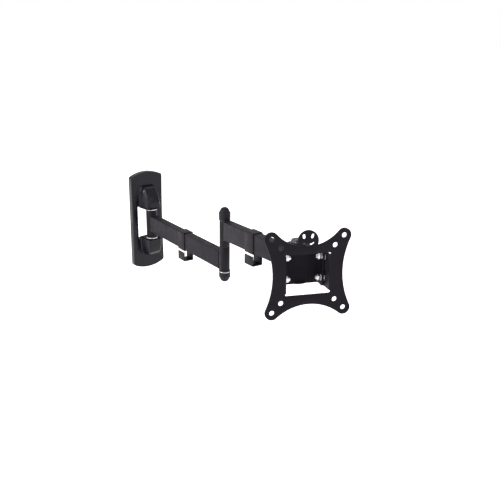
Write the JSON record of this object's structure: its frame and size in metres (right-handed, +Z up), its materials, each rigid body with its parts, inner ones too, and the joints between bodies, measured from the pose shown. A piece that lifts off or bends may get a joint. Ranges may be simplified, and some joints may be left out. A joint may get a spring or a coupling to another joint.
{
  "type": "full motion tv wall mount",
  "caption": "Articulated wall mount for a small television: covered wall plate, two tube arms on vertical pivots, cable clips and a tilting VESA plate.",
  "frame": {"origin": "centre of the two wall screws on the back face of the wall plate", "axes": "+Z up; +Y into the wall, the wall being the plane y = 0; +X to the right of someone facing the wall; the mount reaches out along -Y"},
  "size_m": [0.1672, 0.5332, 0.1988],
  "materials": {
    "steel": "satin powder coat",
    "cover_plastic": "fine texture",
    "clip_plastic": "satin",
    "nylon": "satin",
    "black_nylon": "satin",
    "black_zinc": "black zinc plate",
    "zinc": "bright zinc plate"
  },
  "bodies": {
    "wall_mount": {"wall_bracket": "steel", "upper_cover": "cover_plastic", "lower_cover": "cover_plastic", "wall_pivot_bolt": "zinc", "wall_pivot_nut": "zinc"},
    "first_arm": {"arm1_tube": "steel", "arm1_wall_sleeve": "steel", "arm1_elbow_sleeve": "steel", "wall_pivot_bushes": "nylon", "arm1_cable_clip": "clip_plastic", "elbow_bolt": "zinc", "elbow_nut": "zinc", "elbow_washers": "zinc", "elbow_lower_bushes": "black_nylon", "elbow_top_cap": "clip_plastic", "elbow_bottom_cap": "clip_plastic"},
    "second_arm": {"arm2_tube": "steel", "arm2_elbow_sleeve": "steel", "arm2_head_sleeve": "steel", "elbow_upper_bushes": "black_nylon", "head_pivot_bushes": "black_nylon", "arm2_cable_clip": "clip_plastic"},
    "head": {"tilt_bracket": "steel", "head_pivot_bolt": "black_zinc", "head_pivot_nut": "black_zinc", "head_pivot_washer": "black_zinc", "tilt_pivot_screws": "zinc", "tilt_slot_screws": "zinc", "tilt_friction_washers": "nylon", "tilt_outer_washers": "zinc", "tilt_inner_washers": "zinc", "tilt_nuts": "zinc"},
    "display_plate": {"vesa_plate": "steel"}
  },
  "joints": [
    {"name": "wall_swivel", "type": "hinge", "parent": "wall_mount", "child": "first_arm", "pos_m": [0, -0.0215, 0], "axis": [0, 0, 1], "range_deg": [-82, 98]},
    {"name": "elbow", "type": "hinge", "parent": "first_arm", "child": "second_arm", "pos_m": [-0.03619, -0.27897, 0], "axis": [0, 0, 1], "range_deg": [-151.4, 148.6]},
    {"name": "head_swivel", "type": "hinge", "parent": "second_arm", "child": "head", "pos_m": [-0.0571, -0.45976, 0], "axis": [0, 0, 1], "range_deg": [-69.3, 110.7]},
    {"name": "tilt", "type": "hinge", "parent": "head", "child": "display_plate", "pos_m": [-0.06866, -0.48216, 0.0654], "axis": [0.8886, -0.4587, 0], "range_deg": [-0.8, 19.2]}
  ]
}
